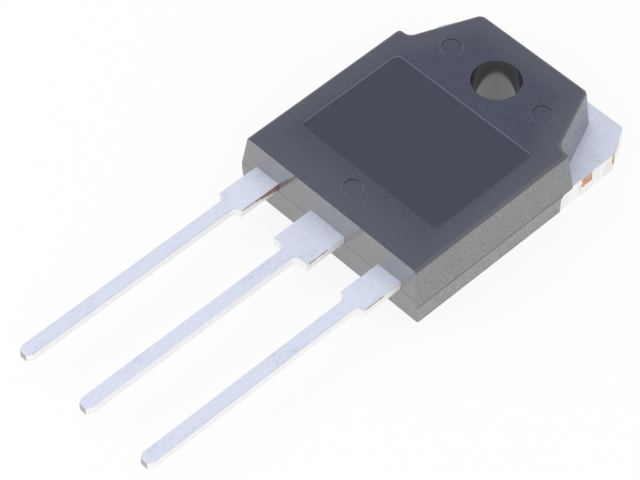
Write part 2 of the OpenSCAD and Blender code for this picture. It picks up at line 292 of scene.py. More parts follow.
@dataclass(frozen=True)
class BaredPatch:
    """Place where the plating is worn or was cut away, as a ragged window over a piece's sides.

    Attributes:
        y: Lowest and highest place along the object.
        z: Lowest and highest height, where the window leans by its slant times Y.
        slant: Fall of the window's edges for each millimetre along Y.
    """

    y: Pair
    z: Pair
    slant: float = 0.0

    def share(self, tree: Tree, place: Node) -> Socket:
        """Gives 1 inside the window and 0 outside it.

        Args:
            tree: Node tree of the material.
            place: Node with the ragged coordinates, parted into X, Y and Z.

        Returns:
            The share of bare metal.
        """
        lean = {0: place.outputs["Y"], 1: self.slant, 2: place.outputs["Z"]}
        height = add_node(tree, "ShaderNodeMath", lean, operation="MULTIPLY_ADD").outputs[0]
        within = {}
        for key, (value, (low, high)) in enumerate(((place.outputs["Y"], self.y), (height, self.z))):
            window = {0: value, 1: (low + high) / 2 * MM, 2: (high - low) / 2 * MM}
            within[key] = add_node(tree, "ShaderNodeMath", window, operation="COMPARE").outputs[0]
        return add_node(tree, "ShaderNodeMath", within, operation="MULTIPLY").outputs[0]


@dataclass(frozen=True)
class PlatedMetal(Finish):
    """Metal with a fine crystalline or rubbed surface, through which a second metal may show.

    The second colour is that of the duller patches in it.

    Attributes:
        stretch: How much longer the grain is than it is wide, along X, Y and Z.
        stained: Share of the surface that the stain covers.
        metallic: Share of light that it reflects as a metal; matte crystals scatter the rest.
        bared: Places where the metal under the plating shows.
        under: Colour of that metal, empty where it shows nowhere.
    """

    stretch: Triple
    stained: float
    metallic: float = 1.0
    bared: tuple[BaredPatch, ...] = ()
    under: str = ""

    def worn(self, tree: Tree, place: Socket, colour: Socket) -> Socket:
        """Lets the metal under the plating show in the bared places, with ragged edges and streaks.

        Args:
            tree: Node tree of the material.
            place: Object coordinates.
            colour: Colour of the plating.

        Returns:
            The colour with the bare places, or as it was where there are none.
        """
        if not self.bared:
            return colour
        waves = {"Vector": place, "Scale": per_mm(RAGGED_MM), "Detail": 3.0, "Roughness": 0.7}
        ragged = add_node(tree, "ShaderNodeTexNoise", waves).outputs["Color"]
        push = {0: ragged, 1: (RAGGED_MM * MM,) * 3, 2: place}
        pushed = add_node(tree, "ShaderNodeVectorMath", push, operation="MULTIPLY_ADD").outputs[0]
        back = {0: pushed, 1: (RAGGED_MM / 2 * MM,) * 3}
        centred = add_node(tree, "ShaderNodeVectorMath", back, operation="SUBTRACT").outputs[0]
        parts = add_node(tree, "ShaderNodeSeparateXYZ", {0: centred})
        whole = self.bared[0].share(tree, parts)
        for patch in self.bared[1:]:
            both = {0: whole, 1: patch.share(tree, parts)}
            whole = add_node(tree, "ShaderNodeMath", both, operation="MAXIMUM").outputs[0]
        squeeze = {"Vector": place, "Scale": (1.0, 1.0, STREAK_SQUEEZE)}
        squeezed = add_node(tree, "ShaderNodeMapping", squeeze).outputs[0]
        lines = {"Vector": squeezed, "Scale": per_mm(STREAK_MM), "Detail": 2.0, "Roughness": 0.6}
        streaks = add_node(tree, "ShaderNodeTexNoise", lines).outputs["Fac"]
        seen = add_node(tree, "ShaderNodeMapRange", {"Value": streaks, **STREAK_SPAN}).outputs["Result"]
        share = add_node(tree, "ShaderNodeMath", {0: whole, 1: seen}, operation="MULTIPLY")
        ends = {0: share.outputs[0], 6: colour, 7: linear(self.under)}
        return add_node(tree, "ShaderNodeMix", ends, data_type="RGBA").outputs[2]

    def material(self) -> Material:
        """Builds the material: stretched grain in colour, roughness and bump, and slow stains over it."""
        material, tree, output = new_material(self.name)
        place = add_node(tree, "ShaderNodeTexCoord").outputs["Object"]
        pull = {"Vector": place, "Scale": tuple(1 / s for s in self.stretch)}
        pulled = add_node(tree, "ShaderNodeMapping", pull).outputs[0]
        fine = {"Vector": pulled, "Scale": per_mm(self.grain_mm), "Detail": 4.0, "Roughness": 0.6}
        grain = add_node(tree, "ShaderNodeTexNoise", fine).outputs["Fac"]
        slow = {**fine, "Scale": per_mm(self.grain_mm * STAIN_GRAINS), "Detail": 5.0}
        clouds = add_node(tree, "ShaderNodeTexNoise", slow).outputs["Fac"]
        edge = 0.5 - (self.stained - 0.5) * 0.5
        span = {"Value": clouds, "From Min": edge, "From Max": edge + STAIN_EDGE}
        patch = add_node(tree, "ShaderNodeMapRange", span, interpolation_type="SMOOTHSTEP").outputs["Result"]
        crystals = add_node(tree, "ShaderNodeMapRange", {"Value": grain, **MOST}).outputs["Result"]
        dull = {0: patch, 1: STAIN_SHARE, 2: CLEAN_SHARE}
        duller = add_node(tree, "ShaderNodeMath", dull, operation="MULTIPLY_ADD").outputs[0]
        product_of = {0: crystals, 1: duller}
        fleck = add_node(tree, "ShaderNodeMath", product_of, operation="MULTIPLY", use_clamp=True)
        ends = {0: fleck.outputs[0], 6: linear(self.colour), 7: linear(self.second)}
        colour = add_node(tree, "ShaderNodeMix", ends, data_type="RGBA").outputs[2]
        own = {"Base Color": self.worn(tree, place, colour), "Metallic": self.metallic}
        tree.links.new(self.surface(tree, grain, grain, GRAIN_GLOSS, own), output.inputs["Surface"])
        return material


class MouldFace(Enum):
    """Zones of the moulding, each cut into the mould with a finish of its own."""

    # Spark-eroded steel leaves a fine dull grain; its bluish grey is painted cool light from above, and its
    # border takes a painted sheen
    FRONT = MouldedEpoxy(
        "epoxy_spark_eroded_front", "#202537", "#3d4358", 0.5, 0.14, 0.01, 0.85, painted_sheen="#585a65"
    )
    # The panel for the marking is ground finer, so it is darker and more even, and it has the same painted
    # cool light
    PANEL = MouldedEpoxy("epoxy_fine_ground_panel", "#22273a", "#2d3246", 0.5, 0.1, 0.003, 0.4)
    # The step round the panel and the lips of the pin marks are a little paler: a painted highlight on the
    # parts that face +X and the leads
    STEP = MouldedEpoxy("epoxy_step_painted_highlight", "#525567", "#686b7e", 0.4, 0.1, 0.002, 0.5)
    # The rolled front edges are paler grey: a painted sheen
    ROLL = MouldedEpoxy("epoxy_rolled_edge_painted_sheen", "#4c4e55", "#5d5e65", 0.5, 0.12, 0.004, 0.7)
    # The steep sides of the pin marks and the rim of the hole are dark: painted shade in those hollows
    HOLLOW = MouldedEpoxy("epoxy_painted_shade_rim", "#101116", "#1a1b22", 0.5, 0.1, 0.002, 0.4)
    # The drafted walls are spark-eroded finer, and their pale grey is painted light from the pale floor
    WALL = MouldedEpoxy("epoxy_spark_eroded_wall_painted_floor_light", "#666767", "#8a8b8a", 0.42, 0.13, 0.008, 0.9, 1.5)
    # Under the parting line the wall stands upright, and its still paler grey is painted light from the floor
    LOWER_WALL = MouldedEpoxy(
        "epoxy_spark_eroded_lower_wall_painted_floor_light", "#717171", "#989897", 0.42, 0.13, 0.008, 0.9, 1.5
    )
    # Beside the tab the wall's bluish grey is a painted reflection of the tinned header
    TAB_WALL = MouldedEpoxy("epoxy_tab_wall_painted_reflection", "#6c6d75", "#8e8f97", 0.4, 0.2, 0.008, 0.8)
    # The insert round the leads is polished, so the leads mirror in it
    LEAD_FACE = MouldedEpoxy(
        "epoxy_polished_lead_face", "#5b5b5d", "#69696b", 0.05, 0.1, 0.0004, 0.3, 2.2, 2.35
    )
    # The pin that forms the hole is polished too
    BORE = MouldedEpoxy("epoxy_polished_bore", "#2b2b30", "#37373c", 0.12, 0.1, 0.0004, 0.3, None, 2.3)
    # The face against the heat sink is ground flat together with the metal
    BACK = MouldedEpoxy("epoxy_lapped_back", "#50525a", "#62646b", 0.45, 0.1, 0.003, 0.7)


# Place of each zone's material on the moulding
ZONE = {face: place for place, face in enumerate(MouldFace)}


class MetalFace(Enum):
    """Surfaces of the copper strip and of what is soldered and bonded to it."""

    # Matte tin is a pale, slightly blue grey with crystals too fine to see one by one; part of its blue is
    # painted cool light from above
    TIN = PlatedMetal("matte_tin_plate", "#dfe4f4", "#c3c9dc", 0.55, 0.13, 0.002, (1, 2, 1), 0.5, 0.6)
    # The punch rolls the upper edge of a lead, where the tin is thinner and greyer
    ROLLED_EDGE = PlatedMetal("rolled_tin_edge", "#c3c6d2", "#a9acb8", 0.5, 0.1, 0.002, (1, 4, 1), 0.5, 0.6)
    # The tips were sheared off after plating, so their ends are a smear of tin over grey copper
    CUT_TIP = PlatedMetal("sheared_lead_tip", "#b9b8b5", "#989692", 0.5, 0.1, 0.003, (1, 1, 6), 0.6, 0.6)
    # The punched side of a lead is near white tin, a painted reflection of the pale floor, and its cut is
    # bare copper by the upper edge
    LEAD_SIDE = PlatedMetal(
        "tin_side_painted_floor_reflection", "#f3f3f2", "#e2e2e4", 0.5, 0.1, 0.002, (1, 1, 6), 0.4, 0.6,
        (BaredPatch((-17.85, -16.3), (2.69, 2.9)),), "#80604a",
    )
    # On the base lead the copper shows right down the side where it leaves the moulding
    BASE_LEAD_SIDE = PlatedMetal(
        "tin_side_painted_floor_reflection_with_bare_copper", "#f3f3f2", "#e2e2e4", 0.5, 0.1, 0.002, (1, 1, 6), 0.4, 0.6,
        (BaredPatch((-17.85, -16.3), (2.69, 2.9)), BaredPatch((-17.2, -14.6), (-1.37, 0.0), 0.24)), "#8f5f44",
    )
    # The header's side was sheared with the tin on, so it is streaked, with copper at its tie bar and corner;
    # its near white is a painted reflection of the pale floor
    HEADER_SIDE = PlatedMetal(
        "sheared_tin_side_painted_floor_reflection", "#fcfbf9", "#d6d4d1", 0.5, 0.12, 0.004, (1, 1, 10), 0.55, 0.6,
        (
            BaredPatch((-0.2, 0.75), (0.75, 1.7)),
            BaredPatch((2.7, 3.9), (1.25, 1.7)),
            BaredPatch((2.7, 3.0), (0.5, 1.7)),
        ),
        "#c98a5c",
    )
    # Silicon with a metallised top is an even grey mirror
    SILICON = PlatedMetal("metallised_silicon", "#8a909c", "#747b88", 0.18, 0.06, 0.0003, (1, 1, 1), 0.3)
    # Solder freezes dull, with a coarse grain
    SOLDER = PlatedMetal("dull_lead_solder", "#a5a8ae", "#84878d", 0.5, 0.08, 0.003, (1, 1, 1), 0.4)
    # Drawn aluminium wire keeps fine lines along its length
    WIRE = PlatedMetal("drawn_aluminium_wire", "#dcdde0", "#bfc1c6", 0.3, 0.03, 0.001, (1, 6, 1), 0.3)


# Meshes

# Loose triangles whose corners are this close, in metres, or whose planes are this close are joined
WELD = 1e-7
ONE_PLANE_DEGREES = 0.05
# A bend over this is a sharp edge and is broken, and a bend under the other is shaded smoothly
SHARP_DEGREES = 40
SMOOTH_DEGREES = 28
# A face looks along an axis when this much of its normal does
LOOKS = 0.9
# The cut tips lie further than this from the lead face
TIP_FROM = 5.0
# Blender's number for keeping the triangles inside the fixed sides, and how close makes two points one
INSIDE_SIDES = 1
ONE_POINT = 1e-6


def new_object(name: str, data: Any) -> Object:
    """Makes an object of a mesh, camera or lamp and links it into the scene."""
    made = bpy.data.objects.new(name, data)
    bpy.context.scene.collection.objects.link(made)
    return made


def new_piece(name: str, mesh: Mesh, node: str) -> Object:
    """Puts a mesh into the scene in place of a CAD node.

    Args:
        name: Name of the piece.
        mesh: Finished mesh, in metres in the object's frame.
        node: CAD node that the piece stands for.

    Returns:
        The new object, at the origin.
    """
    piece = new_object(name, mesh)
    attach(piece, BODY)
    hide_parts(node)
    log.info("%s: %d faces, in place of %s", name, len(mesh.polygons), node)
    return piece


def merged_copy(node: str) -> BMesh:
    """Copies a CAD node, welds its loose triangles and joins the ones that lie in one plane.

    Args:
        node: Name of the CAD node.

    Returns:
        The copy, which the caller turns into a mesh.
    """
    mesh = bmesh.new()
    mesh.from_mesh(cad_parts[node].data)
    bmesh.ops.remove_doubles(mesh, verts=mesh.verts, dist=WELD)
    limit = np.radians(ONE_PLANE_DEGREES)
    bmesh.ops.dissolve_limit(mesh, angle_limit=limit, verts=mesh.verts, edges=mesh.edges)
    return mesh


def to_mesh(source: BMesh, name: str) -> Mesh:
    """Turns an edited copy into a mesh and frees the copy."""
    mesh = bpy.data.meshes.new(name)
    source.to_mesh(mesh)
    source.free()
    return mesh


def face_centres(mesh: Mesh) -> tuple[Array, Array]:
    """Reads where the faces are and where they point.

    Args:
        mesh: Mesh to read.

    Returns:
        Centres in millimetres and unit normals, one row a face.
    """
    centres = np.empty(len(mesh.polygons) * 3)
    normals = np.empty(len(mesh.polygons) * 3)
    mesh.polygons.foreach_get("center", centres)
    mesh.polygons.foreach_get("normal", normals)
    return centres.reshape(-1, 3) / MM, normals.reshape(-1, 3)


def tin(mesh: Mesh, others: Sequence[tuple[MetalFace, Array]]) -> None:
    """Tins a mesh and gives some of its faces other finishes, of which the last one wins.

    Args:
        mesh: Mesh of a lead or of the header.
        others: Each other finish, and True for each face that has it.
    """
    mesh.materials.clear()
    mesh.materials.append(MetalFace.TIN.value.material())
    which = np.zeros(len(mesh.polygons), np.int32)
    for place, (finish, faces) in enumerate(others, 1):
        mesh.materials.append(finish.value.material())
        which[faces] = place
    mesh.polygons.foreach_set("material_index", which)


def cut_tips(centre: Array, normal: Array) -> Array:
    """Tells which faces are the sheared tips of the leads, from the faces' centres and normals."""
    return (normal[:, 1] < -LOOKS) & (centre[:, 1] < LEAD_FACE_Y - TIP_FROM)


def shade_by_angle(mesh: Mesh, degrees: float = SMOOTH_DEGREES) -> None:
    """Smooths the shading over every edge that bends less than the given angle."""
    mesh.shade_smooth()
    mesh.set_sharp_from_angle(angle=np.radians(degrees))


def finish_edges(piece: Object, width_mm: float) -> None:
    """Breaks a piece's sharp edges and keeps the shading of its flat faces flat.

    Args:
        piece: Piece to finish.
        width_mm: Width of the broken edge, or zero where the mesh has its own edges.
    """
    if width_mm > 0:
        bevel = piece.modifiers.new("broken_edges", "BEVEL")
        bevel.width = width_mm * MM
        bevel.segments = 2
        bevel.limit_method = "ANGLE"
        bevel.angle_limit = np.radians(SHARP_DEGREES)
        bevel.miter_outer = "MITER_ARC"
    weighted = piece.modifiers.new("flat_shading", "WEIGHTED_NORMAL")
    weighted.keep_sharp = True
    weighted.weight = 100


def rounded_outline(corners: Sequence[Triple], steps: int = 6) -> Array:
    """Rounds the corners of a closed outline.

    Each corner is replaced by points on the circle of its radius that touches both of its sides: the centre
    lies on the bisector at radius / sin(half angle), and the points turn round it in equal steps from one
    touching point to the other.

    Args:
        corners: X, Y and radius of each corner, anticlockwise.
        steps: Steps in each rounded corner.

    Returns:
        Points of the outline, one row each.
    """
    table = np.asarray(corners, float)
    at, radius = table[:, :2], table[:, 2]
    before, after = np.roll(at, 1, 0) - at, np.roll(at, -1, 0) - at
    before /= np.linalg.norm(before, axis=1, keepdims=True)
    after /= np.linalg.norm(after, axis=1, keepdims=True)
    half = np.arccos(np.clip((before * after).sum(1), -1, 1)) / 2
    bisector = before + after
    bisector /= np.linalg.norm(bisector, axis=1, keepdims=True)
    centre = at + bisector * (radius / np.sin(half))[:, None]
    start = at + before * (radius / np.tan(half))[:, None] - centre
    side = np.where(before[:, 0] * after[:, 1] - before[:, 1] * after[:, 0] > 0, -1, 1)
    turn = side[:, None] * (np.pi - 2 * half)[:, None] * np.linspace(0, 1, steps + 1)
    c, s = np.cos(turn), np.sin(turn)
    x = centre[:, :1] + start[:, :1] * c - start[:, 1:] * s
    y = centre[:, 1:] + start[:, :1] * s + start[:, 1:] * c
    return np.stack([x, y], axis=2).reshape(-1, 2)


def inset_outline(outline: Array, inset: float) -> Array:
    """Moves a closed outline inwards, each point along the bisector of its two sides.

    Args:
        outline: Points of an anticlockwise outline.
        inset: Distance from the old sides to the new ones.

    Returns:
        The moved points.
    """
    ahead = np.roll(outline, -1, 0) - outline
    ahead /= np.linalg.norm(ahead, axis=1, keepdims=True)
    normal_ahead = np.stack([-ahead[:, 1], ahead[:, 0]], axis=1)
    normal_behind = np.roll(normal_ahead, 1, 0)
    both = normal_ahead + normal_behind
    return outline + both * inset / (1 + (normal_ahead * normal_behind).sum(1))[:, None]


def ring_sides(first: int, count: int) -> Array:
    """Lists both ends of each side of a closed ring, whose points stand in a table from first on."""
    here = np.arange(count)
    return first + np.column_stack([here, np.roll(here, -1)])


def triangulated(plan: Array, sides: Array) -> Array:
    """Triangulates the plane inside an outline over fixed sides, and turns every triangle to face up.

    Args:
        plan: X and Y of the points.
        sides: Places in plan of both ends of each fixed side.

    Returns:
        Places in plan of each triangle's corners.
    """
    points, pairs = ([tuple(row) for row in table.tolist()] for table in (plan, sides))
    _, _, triangles, origin, _, _ = delaunay_2d_cdt(points, pairs, [], INSIDE_SIDES, ONE_POINT)
    table = np.array([[origin[i][0] for i in triangle] for triangle in triangles])
    a, b, c = (plan[table[:, i]] for i in range(3))
    turned = (b[:, 0] - a[:, 0]) * (c[:, 1] - a[:, 1]) - (b[:, 1] - a[:, 1]) * (c[:, 0] - a[:, 0]) < 0
    table[turned] = table[turned][:, ::-1]
    return table


@dataclass(frozen=True)
class StampedEdge:
    """Section of a punched strip's edge, from its lower face to its upper one.

    Attributes:
        roll: Radius that the punch rolls onto the upper edge.
        burr: Break of the lower edge, where the strip tore.
        steps: Steps in the rolled edge.
    """

    roll: float = 0.045
    burr: float = 0.012
    steps: int = 4

    def section(self, low: float, high: float) -> Array:
        """Lists inset and height from the lower face to the upper one.

        The side climbs straight from the burr and ends in a quarter circle: inset = roll (1 - cos a) and
        height = top - roll (1 - sin a), with a from 0 to 90 degrees.

        Args:
            low: Height of the lower face.
            high: Height of the upper face.

        Returns:
            Rows of inset and height.
        """
        angle = np.linspace(0, np.pi / 2, self.steps + 1)
        rolled = np.stack([self.roll * (1 - np.cos(angle)), high - self.roll * (1 - np.sin(angle))], axis=1)
        return np.vstack([[self.burr, low], [0, low + self.burr], rolled])


def stamped_plate(name: str, outlines: Sequence[Array], section: Array) -> Mesh:
    """Makes a flat punched piece with rolled edges.

    The wall is a grid of two parameters: one runs round the outline and the other up the section of the edge,
    and the point is the outline moved inwards by the section's inset, at the section's height. Both faces are
    triangulated over the first and last rings of those grids. They run on over a hole, so a hole shows as a
    wall inside the piece: the only ones lie in the moulding, filled with epoxy.

    Args:
        name: Name of the mesh.
        outlines: The outer outline, anticlockwise, followed by the holes, clockwise.
        section: Inset and height up the edge, from the lower face to the upper one.

    Returns:
        The closed mesh.
    """
    steps = len(section) - 1
    points: list[Array] = []
    quads: list[Array] = []
    rims: list[Array] = []
    first = 0
    for outline in outlines:
        count = len(outline)
        points += [np.column_stack([inset_outline(outline, i), np.full(count, z)]) for i, z in section]
        sides = ring_sides(first, count) + np.arange(steps)[:, None, None] * count
        quads.append(np.concatenate([sides, sides[:, :, ::-1] + count], axis=2).reshape(-1, 4))
        rims.append(first + np.arange(count))
        first += len(section) * count
    spots = np.vstack(points)
    faces: list[list[int]] = np.vstack(quads).tolist()
    for level in (0, steps):
        faces += filled(spots[:, :2], [rim + level * len(rim) for rim in rims], level == 0)
    mesh = bpy.data.meshes.new(name)
    mesh.from_pydata((spots * MM).tolist(), [], faces)
    mesh.validate()
    return mesh


def filled(plan: Array, rings: Sequence[Array], down: bool) -> list[list[int]]:
    """Triangulates the flat face inside an outer ring, over the rings of its holes.

    Args:
        plan: X and Y of every point of the piece.
        rings: Places in plan of each ring's points, the outer ring first.
        down: True for a face that looks down.

    Returns:
        Triangles as places in plan.
    """
    used = np.concatenate(rings)
    starts = np.cumsum([0] + [len(ring) for ring in rings[:-1]])
    sides = np.vstack([ring_sides(start, len(ring)) for start, ring in zip(starts, rings)])
    table = triangulated(plan[used], sides)
    return used[table[:, ::-1] if down else table].tolist()


# Sub-assemblies


@dataclass(frozen=True)
class Recess:
    """Shallow recess in the front face, bounded by two rings of equal count.

    Attributes:
        rim: Points of the ring at the front face, anticlockwise.
        depth: Depth of the floor.
        slope: Width of the sloped side, inside the rim.
        lip: Width of the band round the rim, which takes a painted highlight at two of its ends.
        floor: Zone of the floor.
        side: Zone of the sloped side.
    """

    rim: Array
    depth: float
    slope: float
    lip: float
    floor: MouldFace
    side: MouldFace

    def rings(self) -> list[tuple[Array, float]]:
        """Lists the rings from the outside in, each with its depth under the front face."""
        return [
            (inset_outline(self.rim, -self.lip), 0.0),
            (self.rim, 0.0),
            (inset_outline(self.rim, self.slope), self.depth),
        ]


def inside(outline: Array, points: Array) -> Array:
    """Tells which points lie in a closed outline.

    A ray from each point towards +X crosses the outline an odd number of times if the point is inside; the
    crossing with a side from (x0, y0) to (x1, y1) is at x0 + (y - y0) (x1 - x0) / (y1 - y0).

    Args:
        outline: Points of the outline.
        points: Points to test, one row each.

    Returns:
        True for each point inside.
    """
    x0, y0 = outline.T
    x1, y1 = np.roll(outline, -1, 0).T
    x, y = points[:, :1], points[:, 1:]
    spans = (y0 > y) != (y1 > y)
    with np.errstate(divide="ignore", invalid="ignore"):
        crossing = x0 + (y - y0) * (x1 - x0) / (y1 - y0)
    return ((spans & (x < crossing)).sum(1) % 2).astype(bool)


@dataclass
class Moulding:
    """Epoxy moulding with a stepped parting line, a through hole and a fine marking panel.

    Attributes:
        thickness: Back face to front face.
        hole_r: Radius of the mounting hole.
        rim_r: Radius round its front rim.
        hole_taper: How much wider its radius is at the front than at the back.
        shoulder_y: Place where the wide body ends and the tab starts.
        edge_r: Radius along the front edges.
        parting_z: Height of the mould's parting line on the walls.
        panel: Half width, far end and near end of the marking panel.
        panel_r: Radius of the panel's corners.
        panel_d: Depth of the panel.
        panel_slope: Width of its sloped side.
        pins: Place and radius of each ejector pin mark.
        pin_depth: Depth of those marks.
        pin_slope: Width of their sloped side.
        pin_lip: Width of the band round them, which takes a painted highlight at two of its ends.
        painted_sheen_reach: Width of the border with the painted sheen.
        painted_sheen_by_leads: Width of that border over the lead face.
        grid_step: Spacing of the loose points under the front.
        grid_gap: Least distance from those points to the rings.
    """

    thickness: float = 4.5
    hole_r: float = 1.6
    rim_r: float = 0.05
    hole_taper: float = 0.05
    shoulder_y: float = -0.95
    edge_r: float = 0.24
    parting_z: float = 1.5
    panel: Triple = (6.0, -2.9, -11.44)
    panel_r: float = 0.4
    panel_d: float = 0.03
    panel_slope: float = 0.05
    pins: tuple[Triple, ...] = ((-4.0, 0.0, 0.75), (4.0, 0.0, 0.75), (0.0, -12.7, 0.675))
    pin_depth: float = 0.06
    pin_slope: float = 0.07
    pin_lip: float = 0.03
    painted_sheen_reach: float = 2.2
    painted_sheen_by_leads: float = 4.2
    grid_step: float = 0.5
    grid_gap: float = 0.2

    def recesses(self) -> list[Recess]:
        """Draws the rims of the marking panel and of the ejector pin marks.

        Returns:
            The panel, followed by the pin marks.
        """
        half_w, far, near = self.panel
        r = self.panel_r
        corners = [(-half_w, near, r), (half_w, near, r), (half_w, far, r), (-half_w, far, r)]
        size = (self.panel_d, self.panel_slope, 0.0)
        recesses = [Recess(rounded_outline(corners), *size, MouldFace.PANEL, MouldFace.STEP)]
        turn = np.linspace(0, 2 * np.pi, 48, endpoint=False)
        circle = np.column_stack([np.cos(turn), np.sin(turn)])
        size = (self.pin_depth, self.pin_slope, self.pin_lip)
        for x, y, radius in self.pins:
            recesses.append(Recess((x, y) + circle * radius, *size, MouldFace.FRONT, MouldFace.HOLLOW))
        return recesses

    def open_front(self, mesh: BMesh) -> None:
        """Takes the flat of the front face and its recesses out of the merged copy."""
        levels = np.array([0.0, self.panel_d, self.pin_depth])
        rounding = 1e-3
        gone = []
        for face in mesh.faces:
            heights = np.array([v.co.z for v in face.verts]) / MM
            off = np.abs((self.thickness - heights)[:, None] - levels).min(1)
            if (off < rounding).all():
                gone.append(face)
        bmesh.ops.delete(mesh, geom=gone, context="FACES")

    def taper_hole(self, mesh: BMesh) -> None:
        """Tapers the hole towards the back, as the pin that forms it has to come out of the epoxy."""
        for vertex in mesh.verts:
            radius = float(np.hypot(vertex.co.x, vertex.co.y)) / MM
            if radius < self.hole_r + 2 * self.rim_r:
                vertex.co.xy *= 1 + self.hole_taper * vertex.co.z / (self.thickness * MM) / radius

    def front(self, mesh: BMesh) -> Array:
        """Closes the opened front with a height surface and welds it to the walls.

        The surface is z = thickness - depth(x, y). The depth is 0 outside every recess and the recess's own
        inside its inner ring, and falls in a straight line between the two rings of its side. The plane is
        triangulated between the open edge of the copy, the rim of the hole and those rings, over a loose grid
        of points, and each point is lifted to its height.

        Args:
            mesh: Merged copy with an open front, which gets the new faces with their zones.

        Returns:
            Both ends of each side of the front's outline, in plan.
        """
        open_edges = [e for e in mesh.edges if e.is_boundary]
        held = list({v for e in open_edges for v in e.verts})
        number = {v: i for i, v in enumerate(held)}
        rim = np.array([v.co[:] for v in held]) / MM
        sides = [np.array([[number[v] for v in e.verts] for e in open_edges])]
        plan, depth = [rim[:, :2]], [self.thickness - rim[:, 2]]
        first = len(held)
        recesses = self.recesses()
        for recess in recesses:
            for ring, deep in recess.rings()[0 if recess.lip > 0 else 1 :]:
                sides.append(ring_sides(first, len(ring)))
                plan.append(ring)
                depth.append(np.full(len(ring), deep))
                first += len(ring)
        start, end = rim.min(0)[:2] + 1.5 * self.grid_gap, rim.max(0)[:2] - self.grid_gap
        across, along = (np.arange(a, b, self.grid_step) for a, b in zip(start, end))
        grid = np.stack(np.meshgrid(across, along), axis=2).reshape(-1, 2)
        fixed = np.vstack(plan)
        grid = grid[np.linalg.norm(grid[:, None] - fixed, axis=2).min(1) > self.grid_gap]
        sunk = np.zeros(len(grid))
        for recess in recesses:
            sunk[inside(recess.rings()[-1][0], grid)] = recess.depth
        spots = np.column_stack([np.vstack([fixed, grid]), -np.concatenate([*depth, sunk])])
        table = triangulated(spots[:, :2], np.vstack(sides))
        hole = self.hole_r + self.hole_taper + self.rim_r * 0.9
        table = table[np.hypot(*spots[table, :2].mean(1).T) > hole]
        which = self.front_zones(spots[table])
        # Grid points that fell beyond the outline or in the hole are in no triangle and stay out
        lifted = (spots + (0.0, 0.0, self.thickness)) * MM
        new = np.setdiff1d(table, np.arange(len(held)))
        corners = dict(enumerate(held)) | {int(i): mesh.verts.new(lifted[i].tolist()) for i in new}
        for triangle, material in zip(table.tolist(), which.tolist()):
            mesh.faces.new([corners[i] for i in triangle]).material_index = material + 1
        # The open edge round the hole is no part of the outline
        outline = rim[sides[0], :2]
        return outline[np.hypot(*outline.mean(1).T) > self.hole_r * 1.5]

    def front_zones(self, corners: Array) -> Array:
        """Finds the zone of each triangle of the front, from its middle and the way it leans.

        Of a recess's sloped side, only the part that looks to +X and the leads has a finish of its own: a
        painted highlight on the panel's step and painted shade in the pin marks. Of its lip, a painted
        highlight lies at the two ends of the diagonal across that, towards +X +Y and towards -X -Y.

        Args:
            corners: Place in plan and height over the front of each triangle's three corners.

        Returns:
            Place of each triangle's zone in MouldFace.
        """
        least_lean, least_reach = 0.3, 0.75
        middle = corners[:, :, :2].mean(1)
        p, q, r = corners.transpose(1, 0, 2)
        facing = np.cross(q - p, r - p)
        leaning = facing[:, 0] - facing[:, 1] > least_lean * np.linalg.norm(facing, axis=1)
        which = np.full(len(corners), ZONE[MouldFace.FRONT])
        for recess in self.recesses():
            lip, brink, floor = (ring for ring, _ in recess.rings())
            off = middle - brink.mean(0)
            at_ends = np.abs(off.sum(1)) > least_reach * np.linalg.norm(brink[0] - brink.mean(0))
            which[inside(lip, middle) & at_ends] = ZONE[MouldFace.STEP]
            side = np.where(leaning, ZONE[recess.side], ZONE[MouldFace.FRONT])
            which = np.where(inside(brink, middle), side, which)
            which[inside(floor, middle)] = ZONE[recess.floor]
        return which

    def zones(self, mesh: Mesh) -> Array:
        """Finds which zone of the mould made each face, from its centre and normal.

        Args:
            mesh: Merged copy of the CAD node, whose new front already has its zones, counted from one.

        Returns:
            Place of each face's zone in MouldFace.
        """
        centre, normal = face_centres(mesh)
        x, y, z = centre.T
        _, ahead, up = normal.T
        given = np.empty(len(centre), np.int32)
        mesh.polygons.foreach_get("material_index", given)
        out = np.full(len(centre), ZONE[MouldFace.WALL])
        front_up, roll_up = 0.35, 0.12
        out[up > front_up] = ZONE[MouldFace.FRONT]
        rolled = (z > self.thickness - self.edge_r) & (up > roll_up)
        # Over the lead face the whole roll takes the painted sheen, and elsewhere only its flatter steps; the
        # steeper ones take the wall's painted floor light
        tab_flat, body_flat, over_leads = 0.7, 0.45, 0.5
        painted_sheen = (up > np.where(y > self.shoulder_y, tab_flat, body_flat)) | (ahead < -over_leads)
        out[rolled] = np.where(painted_sheen[rolled], ZONE[MouldFace.ROLL], ZONE[MouldFace.WALL])
        out[(ahead < -LOOKS) & (np.abs(y - LEAD_FACE_Y) < 0.5)] = ZONE[MouldFace.LEAD_FACE]
        # The rolled rim of the hole leans and takes the painted shade, and the bore under it is all but
        # upright
        rim_up, bore_up = 0.95, 0.05
        round_hole = np.hypot(x, y) < self.hole_r + self.hole_taper + self.rim_r
        out[round_hole & (np.abs(up) < rim_up)] = ZONE[MouldFace.HOLLOW]
        out[round_hole & (np.abs(up) < bore_up)] = ZONE[MouldFace.BORE]
        out[(up < -LOOKS) & (z < 0.05)] = ZONE[MouldFace.BACK]
        # Under the parting line the wall takes its paler painted floor light, and beside the tab the painted
        # reflection of the header
        out[(out == ZONE[MouldFace.WALL]) & (z < self.parting_z)] = ZONE[MouldFace.LOWER_WALL]
        out[(out == ZONE[MouldFace.WALL]) & (y > self.shoulder_y)] = ZONE[MouldFace.TAB_WALL]
        return np.where(given > 0, given - 1, out)

